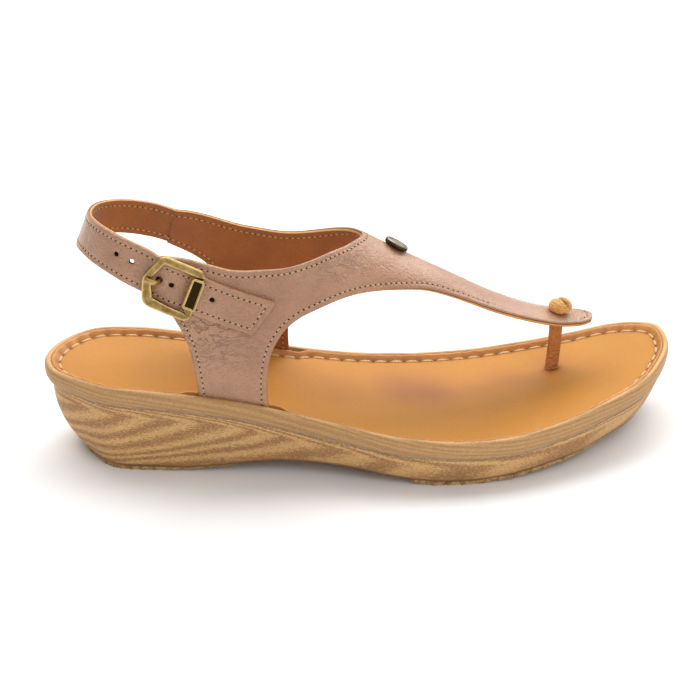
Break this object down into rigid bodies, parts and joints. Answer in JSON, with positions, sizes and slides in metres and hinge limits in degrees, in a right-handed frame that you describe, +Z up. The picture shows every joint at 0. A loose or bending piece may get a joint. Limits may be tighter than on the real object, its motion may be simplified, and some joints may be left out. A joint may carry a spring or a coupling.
{
  "type": "t-strap wedge sandal",
  "caption": "Right-foot thong sandal with a T-strap, buckled sling-back heel strap, stitched leather footbed and a low wood-grain wedge sole.",
  "frame": {"origin": "on the floor, under the middle of the sole's plan outline", "axes": "+X to the toe, +Y to the inner side of the foot, +Z up"},
  "size_m": [0.2646, 0.0936, 0.1065],
  "materials": {
    "pad_rubber": "matte tan rubber",
    "wedge_woodgrain": "satin, streaked like stacked wood",
    "footbed_leather": "smooth orange-tan leather, worn darker under the foot",
    "upper_leather": "fine-grained mauve-taupe leather, stitched near every edge",
    "thong_leather": "tan-brown leather",
    "antique_brass": "antiqued, bright on the edges"
  },
  "bodies": {
    "root": {"heel_pad": "pad_rubber", "forefoot_pad": "pad_rubber", "wedge_sole": "wedge_woodgrain", "insole": "footbed_leather", "upper": "upper_leather", "toe_post": "thong_leather", "buckle_frame": "antique_brass", "buckle_prong": "antique_brass", "buckle_plate": "antique_brass", "instep_stud": "antique_brass"}
  },
  "joints": []
}
